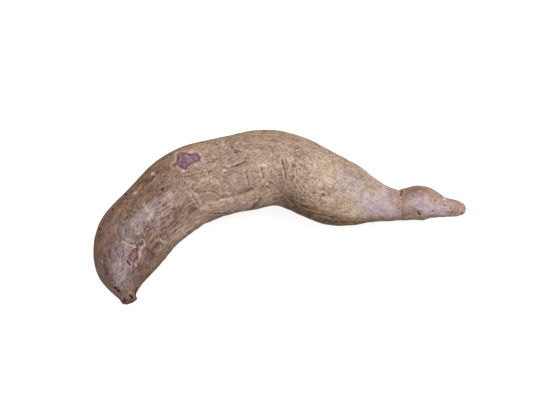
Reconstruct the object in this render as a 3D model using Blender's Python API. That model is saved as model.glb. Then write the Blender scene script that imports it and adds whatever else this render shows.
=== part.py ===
"""A purple sweet potato: one long root, bent near its stem end and drawn out to a thin tail.

The root lies on its side on the plane z = 0. It starts as a sphere, whose rings are laid one after another
along the root's curved axis, from the scar where it broke off its stem to the tip of its tail. Swellings,
furrows, creases and root eyes are then raised from that skin or sunk into it.

+X runs from the bend towards the tail, +Y away from the hollow side of the bend and +Z up. The origin is
on the table, under the middle of the root.
"""

from collections import namedtuple

import bmesh
import bpy
import numpy as np
from mathutils import Vector

MM = 0.001  # the sizes below are in millimetres, and the scene is in metres

# Driving dimensions
THICKNESS = 56.4  # of the thickest place, across the root
FLATTENING = 0.96  # height of a cross-section over its width
PRESS = -0.6  # how far below the table the skin would reach where it is pressed flat
STEM_CAP = 2.4  # length over which the stem scar is rounded off
TAIL_CAP = 6.5  # length over which the tip of the tail is rounded off
RING_SPACING = 3.1  # between cross-sections, along the axis
CAP_RINGS = 5  # cross-sections in each rounded end
SEGMENTS = 44  # sides of a cross-section
FRAME_REACH = 12.0  # a cross-section faces along the axis from this far behind it to this far ahead

Station = namedtuple("Station", "x y gap girth")
Swell = namedtuple("Swell", "along around length width height")
Furrow = namedtuple("Furrow", "start end width depth")
Crease = namedtuple("Crease", "along lean width depth deepest")
Eye = namedtuple("Eye", "along around size depth")

# The axis of the root seen from above, with the gap between the root's underside and the table, and the
# share of its full thickness there. Where the gap is below zero the root rests on the table.
AXIS = (
    Station(-104.2, -62.7, 7.8, 0.19),  # stem scar
    Station(-105.3, -59.4, 7.2, 0.20),
    Station(-107.3, -54.5, 5.0, 0.29),  # neck
    Station(-108.6, -46.3, 2.4, 0.58),
    Station(-107.5, -34.5, 0.8, 0.80),  # blunt end of the short arm
    Station(-102.5, -18.7, PRESS, 0.93),
    Station(-91.4, -4.8, 1.3, 0.92),
    Station(-63.6, 20.0, 1.2, 1.00),  # the bend
    Station(-42.5, 30.0, PRESS, 0.97),
    Station(-22.9, 33.4, 0.9, 0.99),
    Station(-2.9, 35.4, 1.8, 0.95),  # top of the arch
    Station(16.9, 28.5, 0.9, 0.91),
    Station(35.6, 19.9, PRESS, 0.87),  # belly
    Station(53.0, 15.6, 1.4, 0.71),
    Station(68.1, 13.7, 3.4, 0.48),
    Station(82.1, 12.6, 4.6, 0.395),  # waist
    Station(96.2, 15.1, 3.0, 0.425),  # the small bulb
    Station(105.4, 14.6, 4.2, 0.365),
    Station(113.7, 12.1, 6.2, 0.26),  # tail
    Station(121.6, 11.5, 6.9, 0.21),
    Station(129.7, 10.1, 7.4, 0.19),  # tip
)

# Along is in millimetres from the stem scar. Around is in degrees: 0 on the hollow side of the bend,
# 90 on top, 180 on the outer side and 270 underneath.
SWELLS = (
    Swell(78.0, 66.0, 74.0, 20.0, 1.9),  # ridge along the top of the short arm
    Swell(74.0, 126.0, 78.0, 22.0, 1.3),  # shoulder beside it, on the outer side
    Swell(20.0, 90.0, 16.0, 20.0, 0.8),  # brow over the neck
    Swell(54.0, 146.0, 24.0, 16.0, -1.0),
    Swell(86.0, 142.0, 14.0, 14.0, 0.9),
    Swell(78.0, 2.0, 36.0, 20.0, -1.8),  # flatter inner side of the short arm
    Swell(109.0, 354.0, 16.0, 16.0, -0.9),
    Swell(127.0, 8.0, 46.0, 18.0, 1.9),  # lobe in the hollow of the bend
    Swell(178.0, 358.0, 14.0, 16.0, -1.1),
    Swell(96.0, 27.0, 9.0, 9.0, 0.6),
    Swell(165.0, 78.0, 60.0, 24.0, 0.9),  # long rise over the arch
    Swell(214.0, 18.0, 44.0, 20.0, 1.0),  # underlip of the belly
    Swell(206.0, 100.0, 34.0, 22.0, 0.7),
    Swell(247.0, 128.0, 14.0, 14.0, 1.1),
    Swell(269.0, 96.0, 14.0, 14.0, 1.0),  # back of the small bulb
    Swell(274.0, 4.0, 9.0, 10.0, 1.8),  # bulge beside the pit of the small bulb
    Swell(150.0, 200.0, 70.0, 26.0, 1.2),  # outer side, turned away
    Swell(90.0, 226.0, 50.0, 22.0, 0.9),
    Swell(196.0, 214.0, 40.0, 22.0, 0.9),
)
FURROWS = (
    Furrow((114.0, 88.0), (30.0, 114.0), 11.0, 2.3),  # between the ridge and the shoulder
    Furrow((46.0, 110.0), (13.0, 122.0), 7.0, 1.3),
    Furrow((94.0, 40.0), (152.0, 30.0), 10.0, 1.9),  # valley above the lobe
    Furrow((138.0, 31.0), (190.0, 42.0), 9.0, 1.0),
    Furrow((176.0, 58.0), (232.0, 48.0), 7.0, 0.6),
    Furrow((120.0, 172.0), (196.0, 158.0), 9.0, 0.9),  # outer side, turned away
    Furrow((48.0, 176.0), (112.0, 188.0), 9.0, 0.9),
    Furrow((62.0, 300.0), (112.0, 316.0), 9.0, 0.8),  # underneath
    Furrow((146.0, 292.0), (192.0, 306.0), 9.0, 0.8),
    Furrow((208.0, 176.0), (252.0, 164.0), 6.0, 0.6),
)
CREASES = (
    Crease(256.0, 0.5, 3.2, 1.0, 112.0),  # waist
    Crease(287.5, 0.4, 2.6, 0.5, 80.0),  # rings of the tail
    Crease(301.0, -0.3, 2.0, 0.5, 50.0),
)
EYES = (
    Eye(6.7, 20.0, 6.0, 1.0),  # notch in the neck
    Eye(267.9, 21.0, 4.0, 1.6),  # the deep pit of the small bulb
    Eye(197.9, 48.0, 6.0, 0.8),
    Eye(203.2, 51.0, 5.5, 1.0),
    Eye(10.0, 118.0, 5.0, 1.0),
    Eye(26.0, 76.0, 6.0, 0.8),
    Eye(51.5, 133.0, 7.0, 0.9),
    Eye(79.2, 87.0, 6.0, 0.7),
    Eye(80.0, 114.0, 8.0, 0.8),
    Eye(182.7, 102.0, 6.0, 0.7),
    Eye(140.0, 102.0, 6.0, 0.7),
    Eye(58.0, 196.0, 6.5, 0.9),  # the rest are on the sides turned away
    Eye(104.0, 166.0, 7.0, 1.0),
    Eye(136.0, 212.0, 6.5, 0.9),
    Eye(172.0, 178.0, 7.0, 1.0),
    Eye(214.0, 190.0, 6.0, 0.8),
    Eye(70.0, 262.0, 6.5, 0.8),
    Eye(160.0, 258.0, 6.5, 0.9),
    Eye(96.0, 334.0, 6.5, 0.8),
    Eye(186.0, 342.0, 6.5, 0.8),
    Eye(228.0, 286.0, 6.0, 0.8),
    Eye(274.0, 214.0, 4.5, 0.7),
)


def smooth_through(knots, values, at):
    """Values at these places, on a natural cubic spline through the values at the knots."""
    gap, rise = np.diff(knots), np.diff(values) / np.diff(knots)
    system, load = np.eye(len(knots)), np.zeros(len(knots))
    for i in range(1, len(knots) - 1):
        system[i, i - 1 : i + 2] = gap[i - 1], 2.0 * (gap[i - 1] + gap[i]), gap[i]
        load[i] = 6.0 * (rise[i] - rise[i - 1])
    bend = np.linalg.solve(system, load)
    i = np.clip(np.searchsorted(knots, at, side="right") - 1, 0, len(gap) - 1)
    after = (at - knots[i]) / gap[i]
    before = 1.0 - after
    sag = ((before**3 - before) * bend[i] + (after**3 - after) * bend[i + 1]) * gap[i] ** 2 / 6.0
    return before * np.asarray(values)[i] + after * np.asarray(values)[i + 1] + sag


def axis_stations():
    """The stations as points of the axis."""
    height = THICKNESS / 2 * FLATTENING
    return np.array([(s.x, s.y, s.gap + height * s.girth) for s in AXIS])


def axis_lengths():
    """How far along the axis each station is, in millimetres from the stem scar."""
    steps = np.linalg.norm(np.diff(axis_stations(), axis=0), axis=1)
    return np.concatenate([[0.0], np.cumsum(steps)])


LENGTHS = axis_lengths()
ROOT_LENGTH = LENGTHS[-1]


def axis_point(along):
    """Points of the root's axis."""
    return np.stack([smooth_through(LENGTHS, values, along) for values in axis_stations().T], -1)


def unit(vectors):
    return vectors / np.linalg.norm(vectors, axis=-1, keepdims=True)


def cross_frame(along):
    """Two unit vectors across the axis at each place: towards the hollow side of the bend, and up."""
    ahead = axis_point(np.minimum(LENGTHS + FRAME_REACH, ROOT_LENGTH))
    behind = axis_point(np.maximum(LENGTHS - FRAME_REACH, 0.0))
    facing = unit(ahead - behind)
    tangent = unit(np.stack([smooth_through(LENGTHS, values, along) for values in facing.T], -1))
    side = unit(np.cross(tangent, [0.0, 0.0, 1.0]))
    return side, np.cross(side, tangent)


def rounded_end(distance, cap):
    """1 along the root, falling to 0 over the last stretch before an end, as on a ball."""
    inward = np.clip(distance / cap, 0.0, 1.0)
    return np.sqrt(1.0 - (1.0 - inward) ** 2)


def bell(distance, width):
    """1 at no distance, 0.5 at half the width, and soon 0 beyond it."""
    return np.exp(-np.log(2.0) * (2.0 * distance / width) ** 2)


def turn(around, to):
    """The angle from one place to another, in degrees, the short way round."""
    return (around - to + 180.0) % 360.0 - 180.0


def relief(along, around, radius):
    """How far the skin stands out from the plain cross-section, in millimetres."""
    arc = np.radians(1.0) * radius
    height = np.zeros_like(along)
    for swell in SWELLS:
        across = turn(around, swell.around) * arc
        height += swell.height * bell(along - swell.along, swell.length) * bell(across, swell.width)
    for furrow in FURROWS:
        share = (along - furrow.start[0]) / (furrow.end[0] - furrow.start[0])
        middle = furrow.start[1] + share * (furrow.end[1] - furrow.start[1])
        fade = np.sin(np.pi * np.clip(share, 0.0, 1.0))
        height -= furrow.depth * fade * bell(turn(around, middle) * arc, furrow.width)
    for crease in CREASES:
        facing = np.cos(np.radians(around - crease.deepest))
        middle = crease.along + crease.lean * facing
        height -= crease.depth * (0.65 + 0.35 * facing) * bell(along - middle, crease.width)
    for eye in EYES:
        across = turn(around, eye.around) * arc
        height -= eye.depth * bell(np.hypot(along - eye.along, across), eye.size)
    return height


def skin_point(along, around):
    """Points of the skin, in millimetres. What would reach below the table is pressed flat on it."""
    radius = THICKNESS / 2 * smooth_through(LENGTHS, [s.girth for s in AXIS], along)
    ends = rounded_end(along, STEM_CAP) * rounded_end(ROOT_LENGTH - along, TAIL_CAP)
    radius = (radius + relief(along, around, radius)) * ends
    side, up = cross_frame(along)
    angle = np.radians(around)
    across = (radius * np.cos(angle))[:, None] * side
    above = (radius * FLATTENING * np.sin(angle))[:, None] * up
    points = axis_point(along) + across + above
    points[:, 2] = np.maximum(points[:, 2], 0.0)
    return points


def ring_places():
    """Where the cross-sections are along the axis: close together in the rounded ends and the creases."""
    quarter = np.arange(1, CAP_RINGS) / CAP_RINGS * np.pi / 2
    cap = 1.0 - np.cos(quarter)
    count = round((ROOT_LENGTH - STEM_CAP - TAIL_CAP) / RING_SPACING) + 1
    body = np.linspace(STEM_CAP, ROOT_LENGTH - TAIL_CAP, count)
    for crease in CREASES:
        body = body[np.abs(body - crease.along) > crease.width]
        body = np.sort(np.append(body, crease.along + crease.width * np.linspace(-0.75, 0.75, 4)))
    return np.concatenate([[0.0], STEM_CAP * cap, body, ROOT_LENGTH - TAIL_CAP * cap[::-1], [ROOT_LENGTH]])


def grow_root(name):
    """The root's mesh: a sphere with each of its rings laid on its cross-section of the root."""
    places = ring_places()
    rings = len(places) - 1
    shape = bmesh.new()
    bmesh.ops.create_uvsphere(shape, u_segments=SEGMENTS, v_segments=rings, radius=1.0)
    ball = np.array([v.co for v in shape.verts])
    ring = np.round(np.arccos(np.clip(ball[:, 2], -1.0, 1.0)) / np.pi * rings).astype(int)
    around = np.degrees(np.arctan2(ball[:, 1], ball[:, 0])) % 360.0
    for vertex, point in zip(shape.verts, skin_point(places[ring], around)):
        vertex.co = Vector(point) * MM
    mesh = bpy.data.meshes.new(name)
    shape.to_mesh(mesh)
    shape.free()
    mesh.shade_smooth()
    return mesh


def skin_material():
    """Dull brown skin with the purple of the flesh showing through it."""
    material = bpy.data.materials.new("sweet_potato_skin")
    material.use_nodes = True
    shader = material.node_tree.nodes["Principled BSDF"]
    shader.inputs["Base Color"].default_value = (0.36, 0.24, 0.19, 1.0)
    shader.inputs["Roughness"].default_value = 0.6
    shader.inputs["Metallic"].default_value = 0.0
    return material


def main():
    for old in list(bpy.data.objects):
        bpy.data.objects.remove(old)
    collection = bpy.data.collections.new("purple_sweet_potato")
    bpy.context.scene.collection.children.link(collection)
    mesh = grow_root("sweet_potato")
    mesh.materials.append(skin_material())
    collection.objects.link(bpy.data.objects.new("sweet_potato", mesh))


main()
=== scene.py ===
"""The looks of a purple sweet potato lying on its side on a pale table.

The root's skin is one closed mesh that follows the root's solid and adds what is too fine for it: fibre
ridges, hairline cracks, rubbed patches where purple flesh shows, pits where side roots broke off, the torn
stem scar. Stubs of side roots, pores and dry flakes are set on it with Geometry Nodes.

Sizes are in millimetres until a mesh is made. A place on the root is (along, around): along in millimetres
from the stem scar, around in degrees, with 0 on the hollow side of the bend, 90 on top and 270 underneath.
"""

import itertools
import math
from collections import namedtuple

import bpy
import numpy as np
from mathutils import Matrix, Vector


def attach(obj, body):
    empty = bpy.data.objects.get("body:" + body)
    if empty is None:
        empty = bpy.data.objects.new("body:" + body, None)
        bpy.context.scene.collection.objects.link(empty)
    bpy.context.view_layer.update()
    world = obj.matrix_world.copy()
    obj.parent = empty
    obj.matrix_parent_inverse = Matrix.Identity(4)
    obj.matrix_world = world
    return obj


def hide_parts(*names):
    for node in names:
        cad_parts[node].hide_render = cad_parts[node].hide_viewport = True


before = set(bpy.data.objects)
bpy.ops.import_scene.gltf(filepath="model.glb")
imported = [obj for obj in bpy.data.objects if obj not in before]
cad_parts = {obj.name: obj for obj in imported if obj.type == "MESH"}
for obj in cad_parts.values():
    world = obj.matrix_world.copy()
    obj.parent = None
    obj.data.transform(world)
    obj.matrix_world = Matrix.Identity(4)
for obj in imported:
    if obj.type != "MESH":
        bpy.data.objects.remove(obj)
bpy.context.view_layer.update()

MM = 0.001

# Form of the root, the same as that of its solid

THICKNESS = 56.4
FLATTENING = 0.96
PRESS = -0.6
STEM_CAP = 2.4
TAIL_CAP = 6.5
FRAME_REACH = 12.0

Station = namedtuple("Station", "x y gap girth")
Swell = namedtuple("Swell", "along around length width height")
Furrow = namedtuple("Furrow", "start end width depth")
Crease = namedtuple("Crease", "along lean width depth deepest")
Eye = namedtuple("Eye", "along around size depth")

AXIS = (
    Station(-104.2, -62.7, 7.8, 0.19),  # stem scar
    Station(-105.3, -59.4, 7.2, 0.20),
    Station(-107.3, -54.5, 5.0, 0.29),  # neck
    Station(-108.6, -46.3, 2.4, 0.58),
    Station(-107.5, -34.5, 0.8, 0.80),  # blunt end of the short arm
    Station(-102.5, -18.7, PRESS, 0.93),
    Station(-91.4, -4.8, 1.3, 0.92),
    Station(-63.6, 20.0, 1.2, 1.00),  # the bend
    Station(-42.5, 30.0, PRESS, 0.97),
    Station(-22.9, 33.4, 0.9, 0.99),
    Station(-2.9, 35.4, 1.8, 0.95),  # top of the arch
    Station(16.9, 28.5, 0.9, 0.91),
    Station(35.6, 19.9, PRESS, 0.87),  # belly
    Station(53.0, 15.6, 1.4, 0.71),
    Station(68.1, 13.7, 3.4, 0.48),
    Station(82.1, 12.6, 4.6, 0.395),  # waist
    Station(96.2, 15.1, 3.0, 0.425),  # the small bulb
    Station(105.4, 14.6, 4.2, 0.365),
    Station(113.7, 12.1, 6.2, 0.26),  # tail
    Station(121.6, 11.5, 6.9, 0.21),
    Station(129.7, 10.1, 7.4, 0.19),  # tip
)
SWELLS = (
    Swell(78.0, 66.0, 74.0, 20.0, 1.9),  # ridge along the top of the short arm
    Swell(74.0, 126.0, 78.0, 22.0, 1.3),  # shoulder beside it, on the outer side
    Swell(20.0, 90.0, 16.0, 20.0, 0.8),  # brow over the neck
    Swell(54.0, 146.0, 24.0, 16.0, -1.0),
    Swell(86.0, 142.0, 14.0, 14.0, 0.9),
    Swell(78.0, 2.0, 36.0, 20.0, -1.8),  # flatter inner side of the short arm
    Swell(109.0, 354.0, 16.0, 16.0, -0.9),
    Swell(127.0, 8.0, 46.0, 18.0, 1.9),  # lobe in the hollow of the bend
    Swell(178.0, 358.0, 14.0, 16.0, -1.1),
    Swell(96.0, 27.0, 9.0, 9.0, 0.6),
    Swell(165.0, 78.0, 60.0, 24.0, 0.9),  # long rise over the arch
    Swell(214.0, 18.0, 44.0, 20.0, 1.0),  # underlip of the belly
    Swell(206.0, 100.0, 34.0, 22.0, 0.7),
    Swell(247.0, 128.0, 14.0, 14.0, 1.1),
    Swell(269.0, 96.0, 14.0, 14.0, 1.0),  # back of the small bulb
    Swell(274.0, 4.0, 9.0, 10.0, 1.8),  # bulge beside the pit of the small bulb
    Swell(150.0, 200.0, 70.0, 26.0, 1.2),  # outer side, turned away
    Swell(90.0, 226.0, 50.0, 22.0, 0.9),
    Swell(196.0, 214.0, 40.0, 22.0, 0.9),
)
FURROWS = (
    Furrow((114.0, 88.0), (30.0, 114.0), 11.0, 2.3),  # between the ridge and the shoulder
    Furrow((46.0, 110.0), (13.0, 122.0), 7.0, 1.3),
    Furrow((94.0, 40.0), (152.0, 30.0), 10.0, 1.9),  # valley above the lobe
    Furrow((138.0, 31.0), (190.0, 42.0), 9.0, 1.0),
    Furrow((176.0, 58.0), (232.0, 48.0), 7.0, 0.6),
    Furrow((120.0, 172.0), (196.0, 158.0), 9.0, 0.9),  # outer side, turned away
    Furrow((48.0, 176.0), (112.0, 188.0), 9.0, 0.9),
    Furrow((62.0, 300.0), (112.0, 316.0), 9.0, 0.8),  # underneath
    Furrow((146.0, 292.0), (192.0, 306.0), 9.0, 0.8),
    Furrow((208.0, 176.0), (252.0, 164.0), 6.0, 0.6),
)
CREASES = (
    Crease(256.0, 0.5, 3.2, 1.0, 112.0),  # waist
    Crease(287.5, 0.4, 2.6, 0.5, 80.0),  # rings of the tail
    Crease(301.0, -0.3, 2.0, 0.5, 50.0),
)
EYES = (
    Eye(6.7, 20.0, 6.0, 1.0),  # notch in the neck
    Eye(267.9, 21.0, 4.0, 1.6),  # the deep pit of the small bulb
    Eye(197.9, 48.0, 6.0, 0.8),
    Eye(203.2, 51.0, 5.5, 1.0),
    Eye(10.0, 118.0, 5.0, 1.0),
    Eye(26.0, 76.0, 6.0, 0.8),
    Eye(51.5, 133.0, 7.0, 0.9),
    Eye(79.2, 87.0, 6.0, 0.7),
    Eye(80.0, 114.0, 8.0, 0.8),
    Eye(182.7, 102.0, 6.0, 0.7),
    Eye(140.0, 102.0, 6.0, 0.7),
    Eye(58.0, 196.0, 6.5, 0.9),  # the rest are on the sides turned away
    Eye(104.0, 166.0, 7.0, 1.0),
    Eye(136.0, 212.0, 6.5, 0.9),
    Eye(172.0, 178.0, 7.0, 1.0),
    Eye(214.0, 190.0, 6.0, 0.8),
    Eye(70.0, 262.0, 6.5, 0.8),
    Eye(160.0, 258.0, 6.5, 0.9),
    Eye(96.0, 334.0, 6.5, 0.8),
    Eye(186.0, 342.0, 6.5, 0.8),
    Eye(228.0, 286.0, 6.0, 0.8),
    Eye(274.0, 214.0, 4.5, 0.7),
)

# Marks of the skin

Pit = namedtuple("Pit", "along around size depth dark")
Crack = namedtuple("Crack", "places width depth lip dark")
Streak = namedtuple("Streak", "places width strength")
Region = namedtuple("Region", "along around length width strength")
Ridges = namedtuple("Ridges", "length width height seed")


def rows(kind, *table):
    """A table whose rows are all of one kind."""
    return tuple(kind(*row) for row in table)


PITS = rows(
    Pit,
    (79.6, 89, 2.4, 0.45, 0.95), (80.7, 116, 1.8, 0.3, 0.75), (76.6, 119, 1.6, 0.25, 0.7),
    (94.6, 64, 1.3, 0.2, 0.8), (93.6, 60, 1.4, 0.2, 0.8), (118.7, 53, 1.5, 0.25, 0.8),
    (11.8, 126, 3.0, 0.55, 1.0), (9.6, 126, 2.2, 0.4, 1.0), (2.6, 67, 2.6, 0.45, 1.0),
    (4.2, 74, 1.6, 0.3, 1.0), (1.8, 129, 2.4, 0.35, 0.95), (6.1, 358, 2.4, 0.35, 1.0),
    (26.6, 77, 2.4, 0.5, 0.8), (25.1, 27, 1.8, 0.35, 0.6), (199.0, 46, 2.2, 0.4, 0.8),
    (204.3, 49, 2.4, 0.45, 0.85), (269.5, 18, 1.5, 0.7, 0.95), (281.0, 30, 1.6, 0.25, 0.95),
    (280.9, 74, 1.4, 0.2, 0.8), (285.8, 124, 1.7, 0.25, 0.95), (288.8, 73, 1.5, 0.25, 0.9),
    (299.2, 54, 1.3, 0.15, 0.9), (294.6, 29, 1.4, 0.15, 0.9), (293.2, 60, 1.3, 0.1, 0.8),
    (302.3, 14, 1.5, 0.2, 0.85), (183.8, 103, 1.5, 0.2, 0.7), (197.8, 114, 1.6, 0.2, 0.7),
    (199.7, 113, 1.2, 0.15, 0.65), (202.1, 133, 1.8, 0.25, 0.8), (190.1, 95, 1.2, 0.15, 0.6),
    (190.6, 72, 1.3, 0.15, 0.65), (187.4, 79, 1.1, 0.15, 0.6), (207.7, 39, 1.2, 0.15, 0.8),
    (192.8, 28, 1.2, 0.2, 0.65), (42.7, 118, 1.3, 0.2, 0.65), (250.0, 128, 1.2, 0.15, 0.55),
    (125.6, 66, 1.3, 0.2, 0.8),
)
STUBS = rows(  # side roots that broke off above the skin, which is raised there
    Pit,
    (63.5, 131, 2.4, -0.5, 0.85), (40.8, 139, 2.7, -0.45, 0.8), (36.1, 150, 1.7, -0.3, 0.6),
    (52.6, 133, 2.0, -0.35, 0.75),
)
CRACKS = rows(
    Crack,
    (((140.6, 106), (140.8, 94), (142.9, 86), (144.7, 79)), 0.9, 0.35, 0.6, 0.8),
    (((144.7, 79), (143.3, 74), (139.8, 72), (136.3, 71)), 1.1, 0.6, 0.9, 0.92),
    (((136.3, 71), (132.0, 70), (128.2, 70), (125.1, 72)), 1.0, 0.4, 0.7, 0.72),
    (((125.7, 69), (126.3, 64)), 0.8, 0.25, 0.0, 0.6),
    (((167.8, 74), (169.2, 67), (171.0, 60), (174.3, 49)), 1.2, 0.4, 0.2, 0.85),
    (((169.6, 79), (171.0, 72), (173.4, 61)), 0.9, 0.25, 0.0, 0.65),
    (((180.3, 68), (182.5, 60)), 1.1, 0.25, 0.1, 0.72),
    (((154.0, 63), (154.6, 56), (155.3, 46)), 1.2, 0.4, 0.3, 0.85),
    (((143.5, 62), (143.4, 51), (143.9, 38)), 1.0, 0.3, 0.1, 0.6),
    (((118.8, 62), (118.6, 51), (118.6, 39)), 0.9, 0.2, 0.1, 0.4),
    (((90.5, 65), (91.1, 55), (91.4, 45), (92.2, 34)), 1.0, 0.35, 0.3, 0.7),
    (((92.3, 57), (96.0, 50), (102.0, 48), (108.7, 43), (112.2, 35), (118.3, 29)), 0.9, 0.35, 0.5, 0.85),
    (((108.9, 29), (123.0, 28), (131.8, 28), (139.7, 30), (146.4, 32)), 2.8, 0.4, 0.2, 0.46),
    (((101.0, 8), (109.0, 1), (117.0, 357), (124.0, 358)), 1.4, 0.35, 0.3, 0.8),
    (((163.9, 40), (168.6, 45), (175.8, 46)), 0.8, 0.2, 0.1, 0.5),
    (((81.9, 119), (80.3, 116), (78.7, 113)), 1.2, 0.35, 0.0, 0.9),
    (((257.8, 134), (257.6, 118), (256.7, 104)), 1.3, 0.8, 0.0, 1.0),
    (((256.9, 85), (257.5, 66), (257.0, 42), (257.7, 12)), 0.8, 0.4, 0.1, 0.45),
    (((257.7, 12), (256.8, 300), (257.3, 250), (256.6, 210), (257.2, 160)), 0.9, 0.4, 0.1, 0.4),
    (((302.1, 55), (302.6, 20), (302.4, 355)), 0.9, 0.3, 0.0, 0.6),
    (((268.0, 31), (268.6, 24), (269.6, 16)), 0.9, 0.7, 0.0, 0.9),
    (((27.6, 79), (26.8, 78), (25.6, 73)), 1.3, 0.4, 0.0, 0.95),
    (((9.4, 15), (7.0, 11), (4.6, 7)), 2.2, 0.5, 0.0, 1.0),
)
PURPLE_STREAKS = rows(
    Streak,
    (((58.4, 45), (62.1, 44), (65.7, 39), (70.6, 41)), 1.3, 1.0),
    (((62.2, 26), (67.9, 24), (75.8, 21)), 1.2, 0.9),
    (((36.7, 41), (42.0, 37), (47.2, 34)), 1.4, 1.0), (((28.8, 47), (33.5, 40)), 1.3, 0.85),
    (((42.1, 48), (46.1, 46), (52.0, 43)), 1.2, 0.9), (((76.0, 55), (80.0, 52)), 2.4, 0.7),
    (((66.0, 56), (72.0, 53)), 1.6, 0.7), (((52.0, 60), (60.0, 52), (66.0, 50)), 1.1, 0.8),
    (((36.9, 54), (42.0, 52)), 1.1, 0.7), (((125.1, 66), (126.4, 65)), 1.5, 1.0),
    (((65.4, 68), (66.8, 68)), 1.3, 0.8), (((72.0, 69), (73.6, 69)), 1.3, 0.8),
    (((22.0, 52), (28.0, 48)), 1.2, 0.8), (((39.0, 127), (33.0, 126), (28.3, 125)), 1.8, 0.45),
    (((29.0, 124), (24.0, 124), (20.5, 124)), 2.6, 0.6),
)
PALE_STREAKS = rows(
    Streak,
    (((64.1, 91), (62.9, 78), (61.3, 66)), 1.4, 0.8), (((66.5, 84), (64.8, 74)), 1.1, 0.6),
    (((38.3, 86), (38.3, 74)), 1.4, 0.7), (((36.0, 90), (35.4, 79), (34.7, 69)), 1.6, 0.8),
    (((33.8, 84), (33.0, 77)), 1.2, 0.6), (((37.6, 58), (34.3, 59), (32.6, 58)), 1.3, 0.7),
    (((51.6, 41), (51.8, 36), (51.7, 31)), 1.2, 0.8), (((47.5, 44), (48.6, 40)), 1.0, 0.7),
    (((131.3, 119), (130.6, 111), (131.4, 103)), 1.2, 0.8), (((134.6, 112), (133.0, 107)), 1.0, 0.5),
    (((119.2, 62), (119.4, 51)), 0.9, 0.6), (((124.0, 43), (123.2, 36), (124.4, 30)), 1.0, 0.7),
    (((92.6, 58), (93.4, 46), (94.4, 36)), 1.3, 0.8), (((91.2, 62), (90.0, 50), (90.8, 40)), 0.9, 0.5),
    (((145.2, 62), (145.0, 50)), 0.9, 0.5), (((232.4, 138), (231.8, 120), (232.6, 104)), 1.0, 0.6),
    (((143.0, 83), (140.0, 77), (136.0, 75), (130.0, 74)), 1.3, 0.6),
    (((139.5, 84), (135.5, 80), (130.5, 79), (126.0, 77)), 1.1, 0.5),
    (((138.5, 70), (133.5, 68), (127.5, 68)), 0.9, 0.6), (((94.0, 28), (98.0, 25)), 2.6, 0.8),
    (((19.6, 83), (17.0, 92), (15.4, 99)), 1.2, 0.7), (((15.6, 101), (14.0, 110)), 1.4, 0.7),
    (((186.0, 46), (190.0, 40), (197.0, 35)), 0.9, 0.6), (((176.0, 34), (182.0, 31)), 0.9, 0.6),
    (((103.0, 22), (110.0, 20)), 1.1, 0.85), (((100.0, 16), (108.0, 16), (116.0, 20)), 1.2, 0.85),
    (((112.0, 26), (120.0, 25), (128.0, 23)), 1.2, 0.8), (((98.0, 32), (104.0, 27), (111.0, 24)), 1.3, 0.8),
    (((197.0, 14), (201.0, 17), (206.0, 19)), 1.0, 0.55), (((190.0, 23), (194.0, 22), (199.0, 25)), 1.0, 0.5),
    (((204.0, 9), (209.0, 12), (213.0, 12)), 0.9, 0.5), (((181.0, 14), (184.0, 10), (188.0, 9)), 0.9, 0.5),
    (((156.0, 45), (161.0, 44)), 0.9, 0.5),
)
PALE_DOTS = (  # along, around, size
    (100.3, 125, 1.3), (95.9, 90, 1.3), (107.2, 114, 1.2), (108.8, 114, 1.1), (105.2, 88, 1.0),
    (82.3, 121, 1.2), (125.6, 68, 1.3), (25.8, 62, 1.0), (31.2, 58, 1.0), (39.0, 56, 1.0), (46.0, 77, 0.9),
    (62.5, 80, 0.9), (44.2, 71, 0.8), (36.0, 62, 0.7), (155.9, 64, 1.1), (67.0, 118, 1.2), (137.0, 14, 1.0),
    (158.0, 36, 1.0), (288.0, 112, 1.2),
)

# Outlines of patches: rubbed to the purple flesh, rubbed to rusty skin, and plates of loose skin

FLESH_PATCHES = (
    ((101.4, 123), (103.2, 122), (105.0, 118), (105.4, 113), (106.6, 109), (107.5, 108), (109.6, 109),
     (110.9, 106), (111.2, 100), (109.6, 93), (107.0, 92), (105.8, 93), (103.9, 94), (102.4, 94), (100.7, 93),
     (99.0, 91), (97.2, 90), (95.9, 94), (96.1, 98), (96.1, 102), (95.5, 104), (94.2, 104), (92.9, 108),
     (94.7, 109), (96.2, 108), (97.4, 111), (98.2, 112), (99.3, 117), (100.0, 121)),
    ((40.2, 62), (39.6, 59), (38.2, 58), (37.0, 61), (35.3, 61), (34.6, 63), (33.8, 64), (32.6, 64),
     (31.6, 61), (30.5, 63), (29.0, 60), (28.5, 63), (27.6, 65), (27.2, 69), (27.6, 73), (28.5, 77),
     (29.9, 78), (31.0, 75), (31.5, 73), (33.0, 73), (34.0, 71), (34.6, 67), (35.9, 68), (37.5, 67),
     (38.9, 64)),
    ((120.0, 204), (123.0, 209), (126.0, 210), (127.0, 206), (130.0, 209), (133.0, 208), (134.0, 203),
     (137.0, 200), (134.0, 197), (131.0, 193), (128.0, 197), (124.0, 195)),
)
RUST_PATCHES = (
    ((150.7, 16), (151.6, 20), (153.4, 13), (149.6, 8), (148.7, 1), (144.8, 352), (141.4, 350), (139.8, 356),
     (143.2, 3), (144.8, 10), (148.0, 11)),
    ((137.2, 93), (138.4, 97), (140.2, 95), (141.5, 91), (139.4, 88)),
    ((77.4, 122), (79.6, 121), (81.4, 119), (79.0, 112), (77.0, 115)),
    ((66.0, 232), (74.0, 238), (78.0, 228), (70.0, 224)),
)
PLATES = (
    ((95.3, 51), (102.6, 47), (114.2, 35), (110.8, 27), (99.6, 30), (93.6, 37)),
    ((117.2, 20), (130.6, 19), (141.1, 12), (140.5, 360), (129.5, 358), (117.6, 360)),
    ((163.9, 39), (168.1, 44), (175.8, 46), (181.4, 43), (174.8, 33), (166.2, 31)),
    ((134.4, 83), (138.9, 91), (142.0, 92), (144.0, 81), (143.4, 76), (137.0, 74)),
)

# Regions of the skin that are paler or darker, warmer, or of another kind

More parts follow.
